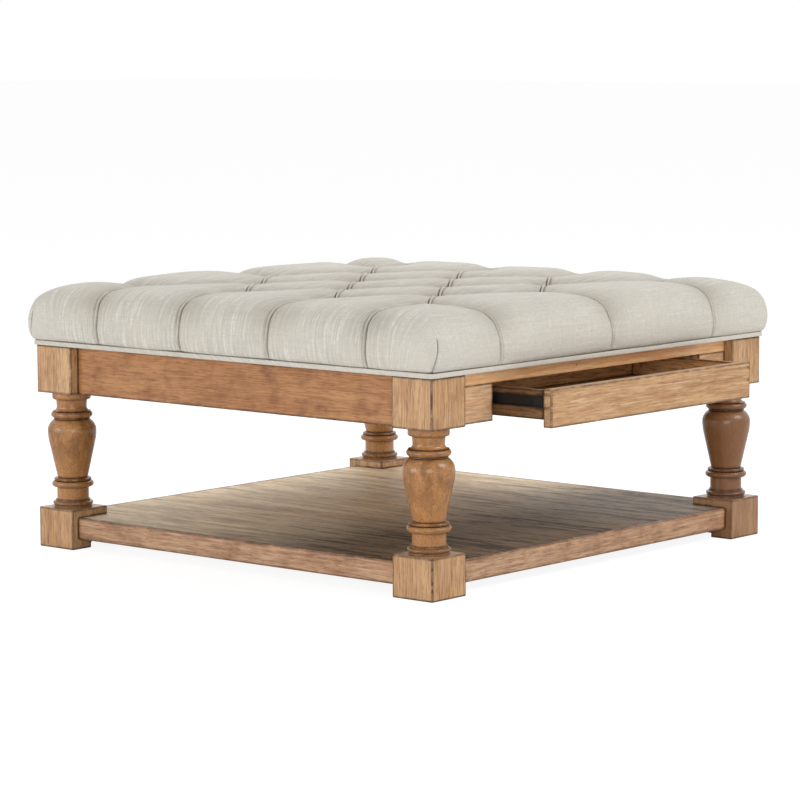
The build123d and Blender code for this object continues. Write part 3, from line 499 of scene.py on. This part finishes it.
def smooth_curve(points):
    """A dense curve through points in millimetres, with a soft tangent at each."""
    points = np.array(points, float) / 1000
    padded = np.vstack([2 * points[0] - points[1], points, 2 * points[-1] - points[-2]])
    parts = []
    for p0, p1, p2, p3 in zip(padded, padded[1:], padded[2:], padded[3:]):
        t = np.linspace(0, 1, CURVE_STEPS, endpoint=False)[:, None]
        parts.append(0.5 * (2 * p1 + (p2 - p0) * t + (2 * p0 - 5 * p1 + 4 * p2 - p3) * t**2
                            + (3 * p1 - p0 - 3 * p2 + p3) * t**3))
    return np.vstack(parts + [points[-1:]])


curve = smooth_curve(PROFILE)
runs = np.concatenate([[0], np.cumsum(np.hypot(*np.diff(curve, axis=0).T))])
corner_runs = runs[[n * CURVE_STEPS for n in CORNER_RADII]]
corner_radii = list(CORNER_RADII.values())
SHEET_HALF = FLAT_HALF + runs[-1]


def eased(value, low, high):
    """0 below low, 1 above high, and a soft step between."""
    t = np.clip((value - low) / (high - low), 0, 1)
    return t * t * (3 - 2 * t)


def bell(value, width, power=2):
    """1 at 0, falling off over a width."""
    return np.exp(-((value / width) ** power))


def bend(sheet):
    """Places points of the flat sheet on the cushion's smooth outer form."""
    size = np.abs(sheet)
    reach = size.max(axis=1)
    run = np.clip(reach - FLAT_HALF, 0, None)
    half = np.where(run > 0, HALF_SPAN + np.interp(run, runs, curve[:, 0]), reach)
    z = np.interp(run, runs, curve[:, 1])
    pull = np.divide(half - SQUARE_HALF, reach - SQUARE_HALF, out=np.ones_like(half), where=run > 0)
    held = np.minimum(size, SQUARE_HALF) + np.clip(size - SQUARE_HALF, 0, None) * pull[:, None]
    corner = np.interp(run, corner_runs, corner_radii)
    corner = np.where(run > 0, corner, corner_radii[0] * eased(reach, ROUND_FROM, FLAT_HALF))
    inner = held - (half - corner)[:, None]
    away = np.hypot(*inner.T) + 1e-9
    turned = (half - corner)[:, None] + inner * (corner / away)[:, None]
    plan = np.where((inner > 0).all(axis=1)[:, None], turned, held) * np.sign(sheet)
    return np.column_stack([plan, z])


def normals_at(sheet):
    """Unit normals of the outer form at points of the sheet."""
    one = bend(sheet + (SLOPE_STEP, 0)) - bend(sheet - (SLOPE_STEP, 0))
    two = bend(sheet + (0, SLOPE_STEP)) - bend(sheet - (0, SLOPE_STEP))
    normal = np.cross(one, two)
    return normal / (np.linalg.norm(normal, axis=1, keepdims=True) + 1e-12)


def channel_lines(sheet):
    """For each channel: the distance to it, the signed distance across it, and its depth there."""
    for a, b, middle in channels:
        span = b - a
        share = np.clip(((sheet - a) @ span) / (span @ span), 0, 1)
        away = np.linalg.norm(sheet - a - share[:, None] * span, axis=1)
        across = ((sheet - a) @ (span[1], -span[0])) / np.hypot(*span)
        yield away, across, middle + (CHANNEL_DEPTH - middle) * np.abs(2 * share - 1) ** 2.4


def pleat_lines(sheet):
    """For each pleat: the distance to it, the signed distance across it, how far out it is, and its way out."""
    for start, way, lean in pleats:
        outward = (sheet - start) @ way
        across = (sheet - start) @ (way[1], -way[0]) + lean * eased(outward, 0.03, 0.26)
        yield np.hypot(across, np.minimum(outward, 0)), across, outward, way


def corner_lines(sheet):
    """For each corner's tuck: the distance to it, the signed distance across it, and the run down the side."""
    run = np.abs(sheet).max(axis=1) - FLAT_HALF
    fall = np.clip((run - TUCK_TOP) / (SHEET_HALF - FLAT_HALF - TUCK_TOP), 0, 1)
    bow = 0.024 * np.sin((0.25 + 0.75 * fall) * math.pi)
    for sx, sy in ((-1, -1), (-1, 1), (1, -1), (1, 1)):
        here = (sx * sheet[:, 0] > 0) & (sy * sheet[:, 1] > 0)
        across = sx * sy * (sx * sheet[:, 0] - sy * sheet[:, 1]) + bow
        yield np.where(here, np.hypot(across, np.minimum(run - TUCK_TOP, 0)), 1), across, run


def crease_distance(sheet):
    kinds = (channel_lines, pleat_lines, corner_lines)
    return np.min([line[0] for lines in kinds for line in lines(sheet)], axis=0)


def valley(distance, width):
    """1 at a valley's floor, falling to 0 at a width, with a rounded puff beside it."""
    t = np.clip(distance / width, 0, 1)
    return 1 - (1 - (1 - t) ** 2) ** 0.86


def tuck(across, depth):
    """The small folded tuck along a crease: a deep line, a narrow bead beside it, and a faint line."""
    bead, faint = bell(across - BEAD_AT, 0.0016), bell(across - FAINT_AT, FAINT_WIDTH)
    return depth * bell(across, LINE_WIDTH) - 0.0024 * bead + 0.0042 * faint


def tuck_shade(across):
    """How much painted shade a tuck gets: painted shade on its two lines and a painted highlight on its bead.
    """
    bead, faint = bell(across - BEAD_AT, 0.0014), bell(across - FAINT_AT, FAINT_WIDTH)
    return bell(across, LINE_WIDTH) + 0.6 * faint - 0.35 * bead


def depth_at(sheet, outer):
    """How far the fabric is pulled in from the outer form, and the painted shade in its folds and valleys and
    at its foot, which is below 0 on painted highlights.
    """
    down = np.clip((CUSHION_TOP - outer[:, 2]) / (CUSHION_TOP - COVER_FOOT), 0, 1)
    to_tuft = np.min([np.hypot(*(sheet - tuft).T) for tuft in tufts], axis=0)
    clear_of_tufts = eased(to_tuft, 0.010, 0.022)
    total, weight, notch, folds, dark = np.zeros((5, len(sheet)))
    for away, across, floor in channel_lines(sheet):
        near = (away + 1e-4) ** -CREASE_POWER
        total += near
        weight += near * floor
        held = (away < TUCK_REACH) * clear_of_tufts
        folds += tuck(across, 0.0050) * held
        # Painted shade on each channel tuck's lines, and a painted highlight on its bead
        dark += 0.75 * tuck_shade(across) * held
    for away, across, outward, way in pleat_lines(sheet):
        near = (away + 1e-4) ** -CREASE_POWER
        total += near
        floor = PLEAT_DEPTH + (CHANNEL_DEPTH - PLEAT_DEPTH) * bell(np.clip(outward, 0, None), 0.062)
        weight += near * floor * (1 - 0.55 * eased(down, 0.35, 0.9))
        held = (away < TUCK_REACH) * clear_of_tufts
        folds += tuck(across, 0.0070) * held
        # Painted shade on each pleat tuck's lines, and a painted highlight on its bead
        dark += tuck_shade(across) * held
        if max(way) > 0:  # on the two far sides a dip beside each pleat notches the outline
            beside = bell(across + 0.036 * way[0] - 0.012 * way[1], 0.032)
            dip = 0.006 if way[0] else 0.015
            notch += dip * beside * eased(outward, 0.02, 0.07) * (1 - eased(outward, 0.15, 0.22))
    reach = total ** (-1 / CREASE_POWER)
    floor = weight / total
    depth = notch + floor * valley(reach, VALLEY_WIDTH - 0.028 * eased(down, 0.1, 0.6))
    depth += POCKET_DEPTH * bell(to_tuft, POCKET_WIDTH, 1.5)
    # Painted shade in the valleys between the puffs, with less of it down the sides
    shade = 0.62 * np.clip(1 - reach / SHADE_WIDTH, 0, 1) ** 1.7 * np.clip(floor / 0.013, 0, 1)
    dark += shade * (1 - 0.7 * eased(down, 0.15, 0.7))
    for away, across, run in corner_lines(sheet):
        held = (away < 0.03) * eased(run, TUCK_TOP, TUCK_TOP + 0.014)
        folds += 0.0080 * bell(across, 0.0012) * held
        # Painted shade along each corner's tuck line
        dark += 1.3 * bell(across, 0.0012) * held
        depth += 0.0035 * bell(away, 0.010, 1.3)
    for x, y, rise in HILLS:
        depth -= rise * bell(np.hypot(*(sheet - (x, y)).T), HILL_WIDTH)
    for n, tuft in enumerate(tufts):  # fine gathers round each pocket
        gap = sheet - tuft
        r = np.hypot(*gap.T)
        close = r < 0.09
        angle = np.arctan2(gap[close, 1], gap[close, 0])
        wave = np.cos(angle * 9 + n * 1.7) + 0.6 * np.cos(angle * 14 + n * 2.9)
        folds[close] += 0.0006 * wave * bell(r[close] - 0.034, 0.020)
    by_the_foot = np.clip((1 - down) / 0.06, 0.25, 1)
    # The cover's lowest rim gets full painted shade
    return (depth + folds) * by_the_foot, np.maximum(dark, eased(down, 0.985, 0.998))


def soft_noise(points, seed, size, strength, waves=14):
    """Gentle unevenness from a few random waves."""
    rng = np.random.default_rng(seed)
    value = np.zeros(len(points))
    for _ in range(waves):
        way = rng.normal(size=3)
        length = size * rng.uniform(0.7, 1.6)
        phase = rng.uniform(0, 6.3)
        value += np.sin(points @ (way / np.linalg.norm(way)) * 2 * np.pi / length + phase)
    return value / waves**0.5 * strength


def sheet_points(bm):
    return np.array([v.co[:2] for v in bm.verts])


bm = bmesh.new()
cells = round(2 * SHEET_HALF / GRID_CELL)
bmesh.ops.create_grid(bm, x_segments=cells, y_segments=cells, size=SHEET_HALF)
for limit in FINER_WITHIN:
    bm.verts.ensure_lookup_table()
    bm.verts.index_update()
    close = crease_distance(sheet_points(bm)) < limit
    picked = [e for e in bm.edges if close[e.verts[0].index] and close[e.verts[1].index]]
    bmesh.ops.subdivide_edges(bm, edges=picked, cuts=1, use_grid_fill=True)
bmesh.ops.edgeloop_fill(bm, edges=[e for e in bm.edges if e.is_boundary])
weave_map = bm.loops.layers.uv.new("weave")
for face in bm.faces:
    for loop in face.loops:
        loop[weave_map].uv = loop.vert.co[:2]
sheet = sheet_points(bm)
outer = bend(sheet)
depth, painted_fold_shade = depth_at(sheet, outer)
depth += soft_noise(outer, seed=3, size=0.16, strength=0.0008)
pulled = outer - normals_at(sheet) * depth[:, None]
lower_edge = np.abs(sheet).max(axis=1) > SHEET_HALF - 1e-6
pulled[lower_edge, 2] = COVER_FOOT
pulled[:, 2] = np.maximum(pulled[:, 2], COVER_FOOT)
pulled[:, 1] += TABLE_Y
mesh = bpy.data.meshes.new("cushion_cover")
bm.to_mesh(mesh)
bm.free()
mesh.vertices.foreach_set("co", pulled.astype(np.float32).ravel())
# The painted shade and highlights of the folds go to the linen as a point attribute
mesh.attributes.new("painted_fold_shade", "FLOAT", "POINT").data.foreach_set("value", painted_fold_shade.astype(np.float32))
mesh.update()
mesh.materials.append(fabric)
mesh.shade_smooth()
cushion = bpy.data.objects.new("cushion_cover", mesh)
scene.collection.objects.link(cushion)
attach(cushion, "table")
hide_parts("cushion")


# The other pieces of fabric
def fabric_piece(name, points, faces):
    """A new piece of the table from points in metres from its middle."""
    mesh = bpy.data.meshes.new(name)
    spots = np.array(points, float)
    spots[:, 1] += TABLE_Y
    mesh.from_pydata(spots.tolist(), [], faces)
    mesh.validate()
    weave = mesh.uv_layers.new(name="weave")
    for loop in mesh.loops:
        spot = mesh.vertices[loop.vertex_index].co
        weave.data[loop.index].uv = (spot.x + spot.y, spot.z * 2 + spot.x - spot.y)
    mesh.materials.append(fabric)
    mesh.shade_smooth()
    piece = bpy.data.objects.new(name, mesh)
    scene.collection.objects.link(piece)
    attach(piece, "table")
    return piece


def quads_between(first, second, count):
    """The faces between two rings of points, given by each ring's first index."""
    pairs = [(i, (i + 1) % count) for i in range(count)]
    return [(first + i, first + j, second + j, second + i) for i, j in pairs]


def rounded_square(half_side, radius, count=8):
    points = []
    for k in range(4):
        for step in range(count + 1):
            angle = math.pi / 2 * (k + step / count)
            cx = (half_side - radius) * (1 if k in (0, 3) else -1)
            cy = (half_side - radius) * (1 if k in (0, 1) else -1)
            points.append((cx + radius * math.cos(angle), cy + radius * math.sin(angle)))
    return points


# The fabric band round the deck's edge. Its section is the way out from the deck, and the height.
DECK_HALF, DECK_RADIUS = 0.5, 0.0092
BAND_SECTION = [
    (-0.0008, 0.3901), (0.0001, 0.3903), (0.0006, 0.3915), (0.0008, 0.3945), (0.0006, 0.3975), (0.0001, 0.3989),
    (-0.0008, 0.3991), (-0.0009, 0.3945),
]
points, faces = [], []
for out, z in BAND_SECTION:
    ring = rounded_square(DECK_HALF + out, DECK_RADIUS + out)
    points += [(px, py, z) for px, py in ring]
for s in range(len(BAND_SECTION)):
    following = (s + 1) % len(BAND_SECTION)
    faces += quads_between(s * len(ring), following * len(ring), len(ring))
band = fabric_piece("deck_wrap", points, faces)
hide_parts("edge_band")

# Covered buttons at the bottom of the pockets, with the ties' knots under the deck. Each form is its foot's
# height, and rings of (radius, rise).
BUTTON = (0.4633, [(0.0104, 0.0), (0.011, 0.0008), (0.0102, 0.0022), (0.0078, 0.0038), (0.004, 0.0049),
                   (0.0001, 0.0052)])
KNOT = (0.3845, [(0.0001, 0), (0.0018, 0.0008), (0.0025, 0.0025), (0.001, 0.0027)])
ROUND = 24  # points of a ring
points, faces = [], []
for tx, ty in tufts:
    for foot, rings in (BUTTON, KNOT):
        start = len(points)
        for radius, rise in rings:
            points += [(tx + radius * math.cos(a), ty + radius * math.sin(a), foot + rise)
                       for a in np.linspace(0, 2 * math.pi, ROUND, endpoint=False)]
        top = len(points) - ROUND
        for first in range(start, top, ROUND):
            faces += quads_between(first, first + ROUND, ROUND)
        faces.append(tuple(range(start, start + ROUND))[::-1])
        faces.append(tuple(range(top, top + ROUND)))
buttons = fabric_piece("button_covers", points, faces)
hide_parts("tuft_buttons")

# Studio: a pale floor that the camera sees as white, a white surround and soft lamps
FLOOR_HALF = 40
corners = [(x * FLOOR_HALF, y * FLOOR_HALF, 0) for x, y in ((-1, -1), (1, -1), (1, 1), (-1, 1))]
floor_mesh = bpy.data.meshes.new("floor")
floor_mesh.from_pydata(corners, [], [(0, 1, 2, 3)])
floor = bpy.data.objects.new("floor", floor_mesh)
scene.collection.objects.link(floor)
floor_look = bpy.data.materials.new("floor")
floor_look.use_nodes = True
tree = floor_look.node_tree
tree.nodes.clear()
diffuse = add_node(tree, "BsdfDiffuse", {"Color": (0.86, 0.86, 0.86, 1)})
seen = add_node(tree, "BsdfDiffuse", {"Color": (0.22, 0.22, 0.22, 1)})
glow = add_node(tree, "Emission", {"Color": (1, 1, 1, 1), "Strength": 0.90})
both = add_node(tree, "AddShader", {0: seen.outputs[0], 1: glow.outputs[0]})
ray = add_node(tree, "LightPath")
pick = add_node(tree, "MixShader", {0: ray.outputs["Is Camera Ray"], 1: diffuse.outputs[0], 2: both.outputs[0]})
add_node(tree, "OutputMaterial", {"Surface": pick.outputs[0]})
floor_mesh.materials.append(floor_look)

# The surround is white to the camera and in reflections, and dimmer as a lamp
SURROUND_LIGHT = 0.38
world = bpy.data.worlds.new("surround")
scene.world = world
world.use_nodes = True
tree = world.node_tree
tree.nodes.clear()
ray = add_node(tree, "LightPath")
white = maths(tree, "MAXIMUM", ray.outputs["Is Camera Ray"], ray.outputs["Is Transmission Ray"])
strength = maths(tree, "MULTIPLY_ADD", white, 1 - SURROUND_LIGHT, SURROUND_LIGHT)
strength = maths(tree, "MAXIMUM", strength, ray.outputs["Is Glossy Ray"])
surround = add_node(tree, "Background", {"Color": (1, 1, 1, 1), "Strength": strength})
add_node(tree, "OutputWorld", {"Surface": surround.outputs[0]})


def lamp(name, spot, target, size, power):
    data = bpy.data.lights.new(name, "AREA")
    data.shape = "RECTANGLE"
    data.size, data.size_y = size
    data.energy = power
    thing = bpy.data.objects.new(name, data)
    scene.collection.objects.link(thing)
    thing.location = spot
    thing.rotation_euler = (Vector(target) - Vector(spot)).to_track_quat("-Z", "Y").to_euler()
    thing.visible_camera = False


lamp("left_lamp", (-7.4, 3.2, 1.6), (0, 0, 0.2), (4.8, 2.6), 262)
lamp("right_lamp", (2.2, -5.2, 4.6), (0, 0, 0.3), (3.2, 2.6), 230)
lamp("fill_lamp", (-4.4, -4.2, 1.2), (0, 0, 0.3), (2.6, 1.8), 84)
lamp("rear_lamp", (2.0, 1.8, 2.7), (0, 0, 0.4), (2.6, 2.6), 64)

scene.view_settings.view_transform = "Standard"
